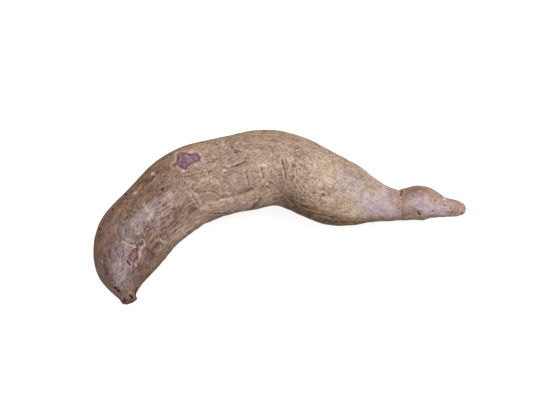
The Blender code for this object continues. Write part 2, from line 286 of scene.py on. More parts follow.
# The rows that darken the lower side of the lobe and the belly, at along 112, 186, 202 and 204, are painted
# shade where the skin turns towards the table.
PALE = rows(
    Region,
    (196, 78, 44, 34, 0.29), (216, 56, 44, 24, 0.16), (236, 56, 30, 26, 0.07), (222, 82, 20, 18, -0.1),
    (160, 64, 46, 26, 0.16), (128, 80, 46, 44, 0.13), (212, 124, 90, 26, 0.1), (270, 52, 24, 14, 0.24),
    (262, 18, 22, 9, -0.15), (296, 60, 22, 20, 0.22), (86, 62, 60, 18, 0.2), (84, 64, 20, 16, 0.11),
    (78, 96, 16, 12, -0.06), (191, 50, 14, 12, -0.1), (159.5, 67, 9, 6, 0.16), (100, 24, 20, 9, 0.11),
    (97, 27, 8, 4, 0.14), (132, 14, 50, 18, 0.31), (163, 2, 24, 14, 0.17), (82, 4, 18, 14, 0.14),
    (100, 2, 60, 14, 0.12), (114, 115, 26, 12, 0.21), (93, 122, 24, 22, 0.1), (168, 124, 30, 10, 0.05),
    (54, 118, 30, 20, 0.08), (130, 46, 42, 16, 0.09), (23, 96, 12, 9, 0.24), (28, 124, 26, 8, -0.38),
    (34, 138, 50, 30, 0.09), (24, 60, 46, 46, -0.2), (36, 56, 36, 26, -0.09), (5, 90, 12, 90, -0.02),
    (24, 74, 24, 24, -0.19), (16, 24, 30, 18, 0.2), (15, 116, 18, 14, 0.15), (232, 118, 32, 18, 0.12),
    (268, 68, 14, 12, -0.22), (182, 26, 20, 20, 0.17), (209, 21, 22, 10, 0.09), (293, 22, 14, 12, -0.18),
    (132, 30.5, 30, 4.5, -0.16), (152, 33, 24, 6, -0.1), (112, 342, 90, 8, -0.1), (30, 2, 40, 8, -0.1),
    (74, 8, 30, 16, 0.26), (168, 104, 24, 14, 0.1), (223, 28, 16, 10, 0.22), (70, 104, 70, 34, -0.12),
    (82, 136, 60, 18, -0.06), (88, 47, 18, 12, -0.2), (124, 64, 16, 14, -0.21), (140, 76, 18, 12, -0.07),
    (176, 64, 30, 30, -0.14), (186, 20, 24, 14, -0.27), (202, 2, 50, 16, -0.34), (204, 350, 64, 8, -0.2),
    (224, 26, 30, 10, 0.12), (246, 72, 18, 12, 0.09), (218, 92, 18, 14, -0.08), (266, 120, 18, 14, -0.1),
    (248, 92, 14, 16, -0.12), (42, 24, 30, 16, 0.13), (150, 200, 90, 40, 0.2), (215, 230, 60, 30, 0.25),
)
# Painted shade: warm dark brown on the lower side of the belly, the lobe and the waist, where the skin turns
# towards the table.
LOW_SIDE_SHADE = rows(
    Region,
    (200, 358, 56, 15, 0.85), (188, 14, 22, 12, 0.36), (212, 8, 26, 9, 0.34), (112, 344, 90, 8, 0.45),
    (258, 344, 50, 4, 0.45),
)
WARM = rows(
    Region,
    (80, 130, 76, 26, 0.8), (32, 148, 44, 22, 0.5), (200, 2, 64, 16, 0.9), (8, 80, 24, 60, 0.12),
    (136, 31, 40, 6, 0.3), (106, 18, 34, 14, 0.5), (206, 28, 40, 16, 0.35), (266, 112, 18, 16, 0.15),
    (150, 130, 60, 16, 0.5), (120, 240, 90, 50, 0.5),
)
# The skin's lilac bloom, with painted sheen where light catches the upper side, strongest on the small bulb.
LILAC_AND_SHEEN = rows(
    Region,
    (27, 98, 30, 13, 0.42), (62, 76, 26, 12, 0.54), (84, 64, 26, 12, 0.22), (44, 56, 46, 20, 0.14),
    (226, 56, 24, 14, 0.15), (226, 29, 26, 10, 0.22), (46, 86, 26, 9, 0.35), (17, 86, 12, 12, 0.5),
    (213, 88, 18, 20, 0.45), (236, 54, 18, 12, 0.7), (246, 28, 16, 8, 0.48), (226, 76, 16, 12, 0.25),
    (244, 88, 12, 22, 0.4), (238, 122, 24, 12, 0.25), (257, 80, 10, 14, 0.25), (290, 96, 14, 14, 0.35),
    (270, 60, 13, 9, 1.1), (279, 34, 9, 7, 0.9), (287, 34, 7, 8, 0.9), (128, 8, 22, 8, 0.35),
    (134, 48, 34, 22, 0.26), (100, 214, 34, 18, 0.55), (236, 206, 26, 16, 0.55), (60, 168, 26, 14, 0.4),
)
ROSY = rows(
    Region,
    (303.5, 45, 6, 30, 0.9), (294, 60, 18, 24, 0.75), (272, 104, 24, 22, 0.5), (281, 70, 12, 14, 0.4),
    (248, 34, 16, 8, 0.5), (139, 88, 7, 6, 0.6), (28.7, 123, 24, 7, 0.7), (234, 110, 5, 6, 0.6),
    (32, 62, 10, 8, 0.6), (22, 86, 30, 24, 0.5),
)
STREAKY = rows(
    Region,
    (44, 52, 70, 44, 1.0), (70, 30, 60, 30, 0.6), (120, 20, 60, 26, 0.45), (198, 8, 56, 20, 0.45),
    (60, 240, 110, 80, 0.9), (170, 250, 90, 60, 0.6),
)
POROUS = rows(
    Region,
    (288, 60, 34, 40, 1.0), (265, 110, 20, 20, 0.6), (205, 50, 60, 40, 0.4), (190, 100, 40, 30, 0.4),
    (8, 90, 16, 60, 0.6), (60, 120, 60, 24, 0.3), (150, 220, 120, 60, 0.4),
)
SMOOTH = rows(
    Region,
    (76, 122, 50, 20, 0.8), (50, 140, 50, 20, 0.3), (56, 112, 40, 16, 0.45), (134, 56, 26, 20, 0.65),
    (104, 42, 18, 9, 0.5), (158, 84, 30, 24, 0.35), (223, 92, 50, 14, 0.8), (250, 88, 16, 16, 0.9),
    (265, 96, 18, 18, 0.9), (268, 40, 20, 30, 0.6), (296, 70, 22, 26, 0.9), (240, 50, 20, 20, 0.6),
    (160, 110, 60, 14, 0.4), (180, 180, 60, 26, 0.6), (92, 196, 40, 22, 0.6),
)

# Relief all over the skin

BUMPS = rows(Ridges, (16.0, 9.0, 0.42, 11), (6.5, 4.5, 0.24, 12))
STREAKY_RIDGES = rows(Ridges, (18.0, 1.8, 0.065, 13), (12.0, 1.4, 0.052, 14))
CURLY_RIDGES = rows(Ridges, (5.0, 1.5, 0.09, 15), (2.8, 1.5, 0.09, 16))
WRINKLES = rows(Ridges, (1.9, 9.0, 0.12, 17))
WRINKLED = ((6.0, 26.0, 1.0), (296.0, 26.0, 1.0), (257.0, 14.0, 0.5))  # along, length, strength
TORN = ((2.2, 0.30, 21), (0.9, 0.16, 22))  # size, height, seed
HALO_HEIGHT, FLESH_DEPTH, RUST_DEPTH, PLATE_EDGE = 0.20, 0.36, 0.20, 0.12
STREAK_HEIGHT, DOT_HEIGHT = 0.12, 0.18
PIT_RIM = 0.3  # how high the rim of a pit stands, as a share of its depth
FULL_CREST = 0.18  # a crest this high is as pale as a crest gets

# Table, lights and camera, in metres

TABLE_SIZE = 60.0
TABLE_GREY = (0.6, 0.6, 0.6, 1.0)
TABLE_GLOW = 0.78
ROOM_LIGHT = (0.24, 0.60)  # low down, and from above
LIGHTS = (("key_light", (0.6, 0.05, 1.1), 7.0), ("back_light", (0.2, 1.0, 0.7), 1.5),
          ("low_light", (0.35, -0.85, 0.25), 1.9))  # name, place, watts
LIGHT_SIZE = 0.6
LIGHT_AIM = Vector((0.0, 0.0, 0.02))
LENS = 86.8
LOOKS_DOWN = math.radians(60.0)
CAMERA_DISTANCE = 0.9
CAMERA_TARGET = Vector((-0.0115, 0.0111, 0.025))
WHITE = (1.0, 1.0, 1.0, 1.0)


def smooth_through(knots, values, at):
    """Values at these places, on a natural cubic spline through the values at the knots."""
    gap, rise = np.diff(knots), np.diff(values) / np.diff(knots)
    system, load = np.eye(len(knots)), np.zeros(len(knots))
    for i in range(1, len(knots) - 1):
        system[i, i - 1 : i + 2] = gap[i - 1], 2.0 * (gap[i - 1] + gap[i]), gap[i]
        load[i] = 6.0 * (rise[i] - rise[i - 1])
    bend = np.linalg.solve(system, load)
    i = np.clip(np.searchsorted(knots, at, side="right") - 1, 0, len(gap) - 1)
    after = (at - knots[i]) / gap[i]
    before = 1.0 - after
    sag = ((before**3 - before) * bend[i] + (after**3 - after) * bend[i + 1]) * gap[i] ** 2 / 6.0
    return before * np.asarray(values)[i] + after * np.asarray(values)[i + 1] + sag


def axis_stations():
    height = THICKNESS / 2 * FLATTENING
    return np.array([(s.x, s.y, s.gap + height * s.girth) for s in AXIS])


LENGTHS = np.concatenate([[0.0], np.cumsum(np.linalg.norm(np.diff(axis_stations(), axis=0), axis=1))])
ROOT_LENGTH = LENGTHS[-1]


def axis_point(along):
    return np.stack([smooth_through(LENGTHS, values, along) for values in axis_stations().T], -1)


def unit(vectors):
    return vectors / np.maximum(np.linalg.norm(vectors, axis=-1, keepdims=True), 1e-9)


def cross_frame(along):
    """Two unit vectors across the axis at each place: towards the hollow side of the bend, and up."""
    ahead = axis_point(np.minimum(LENGTHS + FRAME_REACH, ROOT_LENGTH))
    behind = axis_point(np.maximum(LENGTHS - FRAME_REACH, 0.0))
    facing = unit(ahead - behind)
    tangent = unit(np.stack([smooth_through(LENGTHS, values, along) for values in facing.T], -1))
    side = unit(np.cross(tangent, [0.0, 0.0, 1.0]))
    return side, np.cross(side, tangent)


def rounded_end(distance, cap):
    """1 along the root, falling to 0 over the last stretch before an end, as on a ball."""
    inward = np.clip(distance / cap, 0.0, 1.0)
    return np.sqrt(1.0 - (1.0 - inward) ** 2)


def bell(distance, width):
    """1 at no distance, 0.5 at half the width, and soon 0 beyond it."""
    return np.exp(-np.log(2.0) * (2.0 * distance / width) ** 2)


def turn(around, to):
    """The angle from one place to another, in degrees, the short way round."""
    return (around - to + 180.0) % 360.0 - 180.0


def plain_radius(along):
    return THICKNESS / 2 * smooth_through(LENGTHS, [s.girth for s in AXIS], along)


def main_relief(along, around, radius):
    """How far the main forms stand out from the plain cross-section."""
    arc = np.radians(1.0) * radius
    height = np.zeros_like(along)
    for swell in SWELLS:
        across = turn(around, swell.around) * arc
        height += swell.height * bell(along - swell.along, swell.length) * bell(across, swell.width)
    for furrow in FURROWS:
        share = (along - furrow.start[0]) / (furrow.end[0] - furrow.start[0])
        middle = furrow.start[1] + share * (furrow.end[1] - furrow.start[1])
        fade = np.sin(np.pi * np.clip(share, 0.0, 1.0))
        height -= furrow.depth * fade * bell(turn(around, middle) * arc, furrow.width)
    for crease in CREASES:
        facing = np.cos(np.radians(around - crease.deepest))
        middle = crease.along + crease.lean * facing
        height -= crease.depth * (0.65 + 0.35 * facing) * bell(along - middle, crease.width)
    for eye in EYES:
        across = turn(around, eye.around) * arc
        height -= eye.depth * bell(np.hypot(along - eye.along, across), eye.size)
    return height


def skin_point(along, around):
    """Points of the skin before its fine relief. What would reach below the table is pressed flat on it."""
    along, around = np.asarray(along, float), np.asarray(around, float)
    radius = plain_radius(along)
    ends = rounded_end(along, STEM_CAP) * rounded_end(ROOT_LENGTH - along, TAIL_CAP)
    radius = (radius + main_relief(along, around, radius)) * ends
    side, up = cross_frame(along)
    angle = np.radians(around)
    across = (radius * np.cos(angle))[:, None] * side
    above = (radius * FLATTENING * np.sin(angle))[:, None] * up
    points = axis_point(along) + across + above
    points[:, 2] = np.maximum(points[:, 2], 0.0)
    return points


# Fine relief of the skin


def gradient_noise(points, seed):
    """Smooth noise at each point, about -1 to 1, with features about as large as 1."""
    dice = np.random.default_rng(seed)
    order = np.tile(dice.permutation(256), 2)
    slopes = unit(dice.normal(size=(256, 3)))
    cell = np.floor(points).astype(int)
    inside = points - cell
    ease = inside**3 * (inside * (inside * 6.0 - 15.0) + 10.0)
    total = np.zeros(len(points))
    for corner in itertools.product((0, 1), repeat=3):
        at = (cell + corner) & 255
        slope = slopes[order[order[order[at[:, 0]] + at[:, 1]] + at[:, 2]]]
        weight = np.prod(np.where(corner, ease, 1.0 - ease), axis=1)
        total += weight * ((inside - corner) * slope).sum(1)
    return total * 1.6


def line_points(places):
    """Points of the skin along a line through these places, about a millimetre apart."""
    found = []
    for (a, b), (c, d) in zip(places, places[1:]):
        swing = turn(d, b)
        steps = max(2, round(math.hypot(c - a, swing * 0.45)))
        share = np.linspace(0.0, 1.0, steps, endpoint=False)
        found.append(np.stack([a + share * (c - a), b + share * swing], -1))
    found.append(np.array([places[-1]], float))
    return skin_point(*np.concatenate(found).T)


def off_segment(points, start, end):
    """The way from a segment to each of these points."""
    run, offset = end - start, points - start
    share = np.clip(offset @ run / (run @ run), 0.0, 1.0)
    return offset - share[:, None] * run


def soft_step(value, low, high):
    share = np.clip((value - low) / (high - low), 0.0, 1.0)
    return share * share * (3.0 - 2.0 * share)


class Skin:
    """The skin's grid of points, and where marks lie on it."""

    RING_STEP = 0.83
    COLUMNS = 260
    CAP_RINGS = 12
    FIBRE_RADIUS = 24.0  # fibres keep their places round the root, so they draw together where it is thinner
    LINE_REACH = 4.0
    OUTLINE_REACH = 3.0
    SWAYS = ((3.2, 0.55, (1, 2, 3)), (1.3, 0.25, (4, 5, 6)))  # size, reach, seeds

    def __init__(self):
        cap = 1.0 - np.cos(np.arange(1, self.CAP_RINGS + 1) / (self.CAP_RINGS + 1) * np.pi / 2)
        count = round((ROOT_LENGTH - STEM_CAP - TAIL_CAP) / self.RING_STEP)
        body = np.linspace(STEM_CAP, ROOT_LENGTH - TAIL_CAP, count)
        rings = np.concatenate([STEM_CAP * cap, body, ROOT_LENGTH - TAIL_CAP * cap[::-1]])
        columns = np.arange(self.COLUMNS) * 360.0 / self.COLUMNS
        along, around = np.meshgrid(rings, columns, indexing="ij")
        self.shape = along.shape
        self.along, self.around = along.ravel(), around.ravel()
        self.radius = plain_radius(self.along)
        self.base = skin_point(self.along, self.around)
        grid = self.base.reshape(*self.shape, 3)
        ahead = np.gradient(grid, axis=0)
        beside = np.roll(grid, -1, 1) - np.roll(grid, 1, 1)
        self.normal = unit(np.cross(ahead, beside)).reshape(-1, 3)
        self.ahead = unit(ahead).reshape(-1, 3)
        angle = np.radians(self.around)
        spread = self.FIBRE_RADIUS * (self.radius / self.FIBRE_RADIUS) ** 0.2
        self.grain = np.stack([self.along, spread * np.cos(angle), spread * np.sin(angle)], -1)
        self.swayed = self.base + sum(reach * self.sway(size, seeds) for size, reach, seeds in self.SWAYS)

    def sway(self, size, seeds):
        """A wandering shift of each point, which makes the marks on the skin uneven."""
        return np.stack([gradient_noise(self.base / size, seed) for seed in seeds], -1)

    def noise(self, *table):
        """The sum of noises, each with ridges this long along the root, this wide and this high."""
        return sum(row.height * gradient_noise(self.grain / [row.length, row.width, row.width], row.seed)
                   for row in table)

    def region(self, spots):
        """The sum of soft round regions, each set by its place, its size and its strength."""
        total = np.zeros(len(self.along))
        for spot in spots:
            across = turn(self.around, spot.around) * np.radians(1.0) * self.radius
            total += spot.strength * bell(self.along - spot.along, spot.length) * bell(across, spot.width)
        return total

    def near(self, points, reach):
        """The middle of these points, and which points of the skin lie within reach of them."""
        middle = points.mean(0)
        size = np.linalg.norm(points - middle, axis=1).max() + reach
        return middle, np.nonzero(np.linalg.norm(self.base - middle, axis=1) < size)[0]

    def from_line(self, places):
        """Distance from a line on the skin, and on which side of it each point lies."""
        line = line_points(places)
        distance, side = np.full(len(self.along), self.LINE_REACH), np.zeros(len(self.along))
        near = self.near(line, self.LINE_REACH)[1]
        for start, end in zip(line, line[1:]):
            away = off_segment(self.swayed[near], start, end)
            gap = np.linalg.norm(away, axis=1)
            closer = gap < distance[near]
            where = near[closer]
            distance[where] = gap[closer]
            side[where] = np.sign((np.cross(end - start, self.normal[where]) * away[closer]).sum(1))
        return distance, side

    def inside(self, outline):
        """How far inside an outline on the skin each point lies. It is negative outside."""
        corners = skin_point(*np.array(outline, float).T)
        middle, near = self.near(corners, self.OUTLINE_REACH)
        home = near[np.argmin(np.linalg.norm(self.base[near] - middle, axis=1))]
        plane = np.stack([self.ahead[home], np.cross(self.normal[home], self.ahead[home])], -1)
        flat, outline = (self.swayed[near] - middle) @ plane, (corners - middle) @ plane
        gap, odd = np.full(len(near), self.OUTLINE_REACH), np.zeros(len(near), bool)
        for start, end in zip(outline, np.roll(outline, -1, axis=0)):
            gap = np.minimum(gap, np.linalg.norm(off_segment(flat, start, end), axis=1))
            spans = (start[1] > flat[:, 1]) != (end[1] > flat[:, 1])
            run = end - start
            crossing = start[0] + (flat[:, 1] - start[1]) / (run[1] if run[1] else 1e-9) * run[0]
            odd ^= spans & (flat[:, 0] < crossing)
        depth = np.full(len(self.along), -self.OUTLINE_REACH)
        depth[near] = np.where(odd, gap, -gap)
        return depth

    def inside_any(self, outlines):
        return np.max([self.inside(outline) for outline in outlines], axis=0)


def distance_from(points, along, around):
    return np.linalg.norm(points - skin_point([along], [around])[0], axis=1)


def drawn(dice, *spans):
    """A draw from each of these spans in turn."""
    return [dice.uniform(low, high) for low, high in spans]


def hidden_pits():
    """Small scars of side roots on the sides turned away, in loose rows along the root."""
    dice = np.random.default_rng(41)
    pits = []
    for row in (158.0, 196.0, 238.0, 276.0, 318.0, 346.0):
        for along in np.arange(16.0, 296.0, 15.0):
            if dice.random() < 0.55:
                place = along + dice.uniform(-6.0, 6.0), (row + dice.normal(0.0, 7.0)) % 360.0
                pits.append(Pit(*place, *drawn(dice, (1.0, 2.4), (0.1, 0.45), (0.4, 0.95))))
    return tuple(pits)


def hidden_cracks():
    """Short cracks across the root on the sides turned away."""
    dice = np.random.default_rng(52)
    cracks = []
    for along in np.arange(20.0, 290.0, 11.0):
        middle, half, drift = drawn(dice, (165.0, 345.0), (8.0, 18.0), (-3.0, 3.0))
        places = ((along - drift, middle - half), (along, middle), (along + drift, middle + half))
        cracks.append(Crack(places, 0.9, *drawn(dice, (0.12, 0.3), (0.0, 0.25), (0.2, 0.5))))
    return tuple(cracks)


def blurred(grid, reach):
    """A grid averaged over this many neighbours each way, joined up around the root."""
    total = sum(np.roll(grid, step, 1) for step in range(-reach, reach + 1))
    padded = np.pad(total, ((reach, reach), (0, 0)), mode="edge")
    rings, steps = len(grid), 2 * reach + 1
    return sum(padded[step : step + rings] for step in range(steps)) / steps**2


def add_ridges(skin, fields):
    """The uneven skin all over: low bumps, fibre ridges, and wrinkles near the ends and the waist."""
    smooth = np.clip(skin.region(SMOOTH), 0.0, 1.0)
    streaky = np.clip(0.25 + skin.region(STREAKY), 0.0, 1.0) * (1.0 - 0.65 * smooth)
    curly = np.clip(1.0 - 0.8 * streaky - 0.75 * smooth, 0.08, 1.0)
    fields.update(streaky=streaky, curly=curly)
    wrinkled = sum(strength * bell(skin.along - along, length) for along, length, strength in WRINKLED)
    height = skin.noise(*BUMPS) + streaky * skin.noise(*STREAKY_RIDGES) + curly * skin.noise(*CURLY_RIDGES)
    height += wrinkled * skin.noise(*WRINKLES)
    return height * rounded_end(skin.along, 6.0) * rounded_end(ROOT_LENGTH - skin.along, 8.0)


def add_patches(skin, fields):
    """Rubbed patches sink in, with a raised halo round the flesh. Plates have raised edges."""
    flesh_depth, plate_depth = skin.inside_any(FLESH_PATCHES), skin.inside_any(PLATES)
    flesh, halo = soft_step(flesh_depth, -0.8, 0.7), bell(flesh_depth + 0.9, 1.5)
    rust = soft_step(skin.inside_any(RUST_PATCHES), -0.6, 0.7)
    fields.update(flesh=flesh, halo=halo, rust=rust)
    fields.update(flesh_rim=bell(flesh_depth - 0.45, 1.3), plate=soft_step(plate_depth, -0.8, 1.0))
    sunk = FLESH_DEPTH * flesh + RUST_DEPTH * rust
    return HALO_HEIGHT * halo - sunk + PLATE_EDGE * bell(plate_depth - 0.6, 1.4)


def add_pits_and_cracks(skin, fields):
    """Pits sink in and have a low ring round them. Cracks sink in, with a lip on one side."""
    height, dark, pale_line = (np.zeros(len(skin.along)) for _ in range(3))
    for pit in PITS + STUBS + hidden_pits():
        gap = distance_from(skin.swayed, pit.along, pit.around)
        rim = PIT_RIM * abs(pit.depth) * bell(gap - pit.size, 0.9 * pit.size)
        height += rim - pit.depth * bell(gap, pit.size)
        dark = np.maximum(dark, pit.dark * bell(gap, pit.size))
    for crack in CRACKS + hidden_cracks():
        gap, side = skin.from_line(crack.places)
        lip = np.maximum(side, 0.0) * bell(gap - 0.9, 2.2) * (gap < skin.LINE_REACH - 0.1)
        height += crack.lip * lip - crack.depth * bell(gap, crack.width)
        dark = np.maximum(dark, crack.dark * bell(gap, 0.9 * crack.width))
        pale_line = np.maximum(pale_line, 0.4 * crack.dark * bell(gap - 1.1, 0.9))
    fields.update(dark=dark, pale_line=pale_line)
    return height


def add_streaks_and_dots(skin, fields):
    """Pale streaks and dots stand up a little, and purple streaks sink in."""
    pale, purple = (
        [streak.strength * bell(skin.from_line(streak.places)[0], streak.width) for streak in table]
        for table in (PALE_STREAKS, PURPLE_STREAKS)
    )
    dots = [bell(distance_from(skin.base, along, around), 1.3 * size) for along, around, size in PALE_DOTS]
    fields.update(purple_line=np.max(purple, axis=0), dot=np.max(dots, axis=0))
    fields["pale_line"] = np.maximum(fields["pale_line"], np.max(pale, axis=0))
    lines = STREAK_HEIGHT * (np.sum(pale, axis=0) - np.sum(purple, axis=0))
    return lines + DOT_HEIGHT * np.sum(dots, axis=0)


def add_scar(skin, fields):
    """The torn face of the stem end."""
    fields["scar"] = soft_step(STEM_CAP + 0.6 - skin.along, 0.0, 1.6)
    torn = sum(height * gradient_noise(skin.base / size, seed) for size, height, seed in TORN)
    return bell(skin.along, 3.2) * (skin.along < STEM_CAP) * torn


def grow_skin():
    """The skin's mesh, with its colour fields as point attributes."""
    skin, fields = Skin(), {}
    layers = (add_ridges, add_patches, add_pits_and_cracks, add_streaks_and_dots, add_scar)
    height = sum(layer(skin, fields) for layer in layers)
    grid = height.reshape(skin.shape)
    crest = (grid - blurred(grid, 4)).ravel() / FULL_CREST
    bare = (1.0 - fields["flesh"]) * np.clip((skin.along - 6.0) / 6.0, 0.0, 1.0)
    bare *= np.clip((300.0 - skin.along) / 6.0, 0.0, 1.0)
    loose = fields["curly"] * (0.5 + skin.noise(Ridges(14.0, 10.0, 1.0, 31))) + fields["halo"]
    fields.update(
        crest=np.clip(crest, 0.0, 1.0),
        # Painted shade: the hollows of the relief, used to darken the skin there.
        hollow=np.clip(-crest, 0.0, 1.0),
        flaky=np.clip(loose, 0.0, 1.0) * bare,
        porous=np.clip(0.25 + skin.region(POROUS), 0.0, 1.0) * bare,
        pale=0.33 + skin.region(PALE),
        lilac=np.clip(skin.region(LILAC_AND_SHEEN), 0.0, 1.2),
        rosy=np.clip(skin.region(ROSY), 0.0, 1.0),
        warm=np.clip(skin.region(WARM), 0.0, 1.0),
        # Painted shade low down: darker brown within a few millimetres of the table, and in the regions of
        # painted shade on the lower side.
        soil=np.clip(bell(skin.base[:, 2], 14.0) + skin.region(LOW_SIDE_SHADE), 0.0, 1.0),
    )
    points = skin.base + height[:, None] * skin.normal
    points[:, 2] = np.maximum(points[:, 2], 0.0)
    return skin_mesh(skin, points, fields)


def set_vectors(mesh, **fields):
    """Vector attributes of a mesh's points."""
    for name, values in fields.items():
        layer = mesh.attributes.new(name, "FLOAT_VECTOR", "POINT")
        layer.data.foreach_set("vector", np.asarray(values, np.float32).ravel())


def skin_mesh(skin, points, fields):
    """A closed mesh of the grid, with a fan of triangles to a pole at each end."""
    columns = skin.COLUMNS
    ends = np.stack([points[:columns].mean(0), points[-columns:].mean(0)])
    corner = np.arange(len(points)).reshape(skin.shape)
    beside = np.roll(corner, -1, axis=1)
    quads = np.stack([corner[:-1], corner[1:], beside[1:], beside[:-1]], -1).reshape(-1, 4)
    first, last = len(points), len(points) + 1
    stem = [(first, a, b) for a, b in zip(corner[0], beside[0])]
    tail = [(last, b, a) for a, b in zip(corner[-1], beside[-1])]
    mesh = bpy.data.meshes.new("root_skin")
    mesh.from_pydata(np.concatenate([points, ends]) * MM, [], quads.tolist() + stem + tail)
    for name, values in fields.items():
        closed = np.concatenate([values, [values[:columns].mean(), values[-columns:].mean()]])
        mesh.attributes.new(name, "FLOAT", "POINT").data.foreach_set("value", closed.astype(np.float32))
    poles = [[0.0, 0.0, 0.0], [ROOT_LENGTH, 0.0, 0.0]]
    run = np.concatenate([skin.ahead, skin.ahead[[0, -1]]])
    set_vectors(mesh, grain=np.concatenate([skin.grain, poles]), run=run)
    mesh.shade_smooth()
    mesh.update()
    return mesh


# Node trees

NUMBER, VECTOR, GEOMETRY = "NodeSocketFloat", "NodeSocketVector", "NodeSocketGeometry"


class Nodes:
    """A node tree, with a short way to add each node that is used often."""

    def __init__(self, tree):
        self.tree = tree

    def fill(self, node, inputs):
        """Give each input its value, or the socket that feeds it."""
        for key, value in inputs.items():
            if isinstance(value, bpy.types.NodeSocket):
                self.tree.links.new(value, node.inputs[key])
            else:
                node.inputs[key].default_value = value
        return node

    def add(self, kind, inputs=None, **settings):
        node = self.tree.nodes.new(kind)
        for name, value in settings.items():
            setattr(node, name, value)
        return self.fill(node, inputs or {})

    def use(self, group, **inputs):
        return self.add("ShaderNodeGroup", inputs, node_tree=group).outputs[0]

    def maths(self, operation, *values):
        return self.add("ShaderNodeMath", dict(enumerate(values)), operation=operation).outputs[0]

    def times(self, first, second):
        return self.maths("MULTIPLY", first, second)

    def summed(self, total, *weighed):
        """A total with more values added, each times its weight."""
        for value, weight in weighed:
            total = self.maths("MULTIPLY_ADD", value, weight, total)
        return total

    def vector(self, operation, first, second):
        return self.add("ShaderNodeVectorMath", {0: first, 1: second}, operation=operation).outputs[0]

    def combined(self, x, y, z):
        return self.add("ShaderNodeCombineXYZ", {0: x, 1: y, 2: z}).outputs[0]

    def ranged(self, value, low, high, to_low=0.0, to_high=1.0):
        inputs = {"Value": value, "From Min": low, "From Max": high, "To Min": to_low, "To Max": to_high}
        return self.add("ShaderNodeMapRange", inputs, interpolation_type="SMOOTHSTEP").outputs["Result"]

    def mixed(self, share, first, second, blend="MIX"):
        inputs = {0: share, 6: first, 7: second}
        node = self.add("ShaderNodeMix", inputs, data_type="RGBA", blend_type=blend, clamp_factor=True)
        return node.outputs[2]

    def coated(self, colour, *coats):
        """A colour under more coats, each with the share that it hides and its own colour."""
        for share, over in coats:
            colour = self.mixed(share, colour, over)
        return colour

    def field(self, name, output="Fac"):
        return self.add("ShaderNodeAttribute", attribute_name=name).outputs[output]

    def place(self):
        """The place on the object, in millimetres."""
        place = self.add("ShaderNodeTexCoord").outputs["Object"]
        return self.vector("MULTIPLY", place, (1 / MM,) * 3)

    def noise(self, place, scale, detail, output=0):
        inputs = {"Vector": place, "Scale": scale, "Detail": detail}
        return self.add("ShaderNodeTexNoise", inputs).outputs[output]

    def stretched(self, place, shift, into):
        """A shifted place, measured in the length and the width that come into a group."""
        size = self.combined(into["Length"], into["Width"], into["Width"])
        return self.vector("DIVIDE", self.vector("ADD", place, shift), size)

    def bump(self, height, strength, distance):
        inputs = {"Height": height, "Strength": strength, "Distance": distance * MM}
        return self.add("ShaderNodeBump", inputs).outputs["Normal"]


def new_group(name, output, **inputs):
    """A shader group with one output. Its inputs are numbers, or vectors where the value is None."""
    nodes = Nodes(bpy.data.node_groups.new(name, "ShaderNodeTree"))
    face = nodes.tree.interface
    for label, value in inputs.items():
        socket = face.new_socket(label, in_out="INPUT", socket_type=VECTOR if value is None else NUMBER)
        if value is not None:
            socket.default_value = value
    face.new_socket(output, in_out="OUTPUT", socket_type=NUMBER)
    return nodes, nodes.add("NodeGroupInput").outputs, nodes.add("NodeGroupOutput")


def mottle_group():
    """Clouds from -1 to 1, this long along the first axis and this wide across it. Long narrow ones are fibre
    lines. They sway to the sides by about this much."""
    numbers = {"Length": 8.0, "Width": 8.0, "Detail": 3.0, "Sway": 0.0, "Seed": 0.0}
    nodes, into, out = new_group("mottle", "Value", Place=None, **numbers)
    bend = {0: nodes.noise(into["Place"], 0.16, 1.0, "Color"), "Scale": into["Sway"]}
    sway = nodes.add("ShaderNodeVectorMath", bend, operation="SCALE").outputs[0]
    inputs = {"Vector": nodes.stretched(into["Place"], sway, into), "W": into["Seed"], "Scale": 1.0,
              "Detail": into["Detail"], "Roughness": 0.6, "Distortion": 0.3}
    shown = nodes.add("ShaderNodeTexNoise", inputs, noise_dimensions="4D").outputs[0]
    nodes.fill(out, {"Value": nodes.ranged(shown, 0.3, 0.7, -1.0, 1.0)})
    return nodes.tree


def net_group():
    """The fine net of corky lines, as a mask."""
    nodes, into, out = new_group("russet_net", "Mask", Grain=None, Length=4.0, Width=2.0, Line=0.12)
    warp = nodes.vector("MULTIPLY", nodes.noise(into["Grain"], 0.35, 2.0, "Color"), (3.0, 3.0, 3.0))
    place = nodes.stretched(into["Grain"], warp, into)
    cells = nodes.add("ShaderNodeTexVoronoi", {"Vector": place, "Scale": 1.0}, feature="DISTANCE_TO_EDGE")
    nodes.fill(out, {"Mask": nodes.ranged(cells.outputs["Distance"], 0.0, into["Line"], 1.0, 0.0)})
    return nodes.tree


def ragged_group():
    """A soft mask given a ragged edge by noise."""
    numbers = {"Size": 0.8, "Roughness": 0.5, "Softness": 0.1}
    nodes, into, out = new_group("ragged_edge", "Mask", Mask=0.0, Place=None, **numbers)
    shown = nodes.noise(into["Place"], nodes.maths("DIVIDE", 1.0, into["Size"]), 3.0)
    shift = nodes.times(nodes.maths("SUBTRACT", shown, 0.5), into["Roughness"])
    moved = nodes.summed(into["Mask"], (shift, 2.0))
    low, high = (nodes.maths(way, 0.5, into["Softness"]) for way in ("SUBTRACT", "ADD"))
    nodes.fill(out, {"Mask": nodes.ranged(moved, low, high)})
    return nodes.tree


# Materials


def tone(*screen):
    """A colour for a shader from its red, green and blue on a screen, each from 11 to 255."""
    return tuple(((value / 255 + 0.055) / 1.055) ** 2.4 for value in screen) + (1.0,)


CORK = ((0.0, tone(70, 46, 36)), (0.2, tone(112, 82, 69)), (0.45, tone(152, 123, 107)),
        (0.7, tone(192, 165, 145)), (1.0, tone(238, 217, 194)))  # from dark to pale


def new_material(name):
    material = bpy.data.materials.new(name)
    material.use_nodes = True
    return material, Nodes(material.node_tree), material.node_tree.nodes["Principled BSDF"]


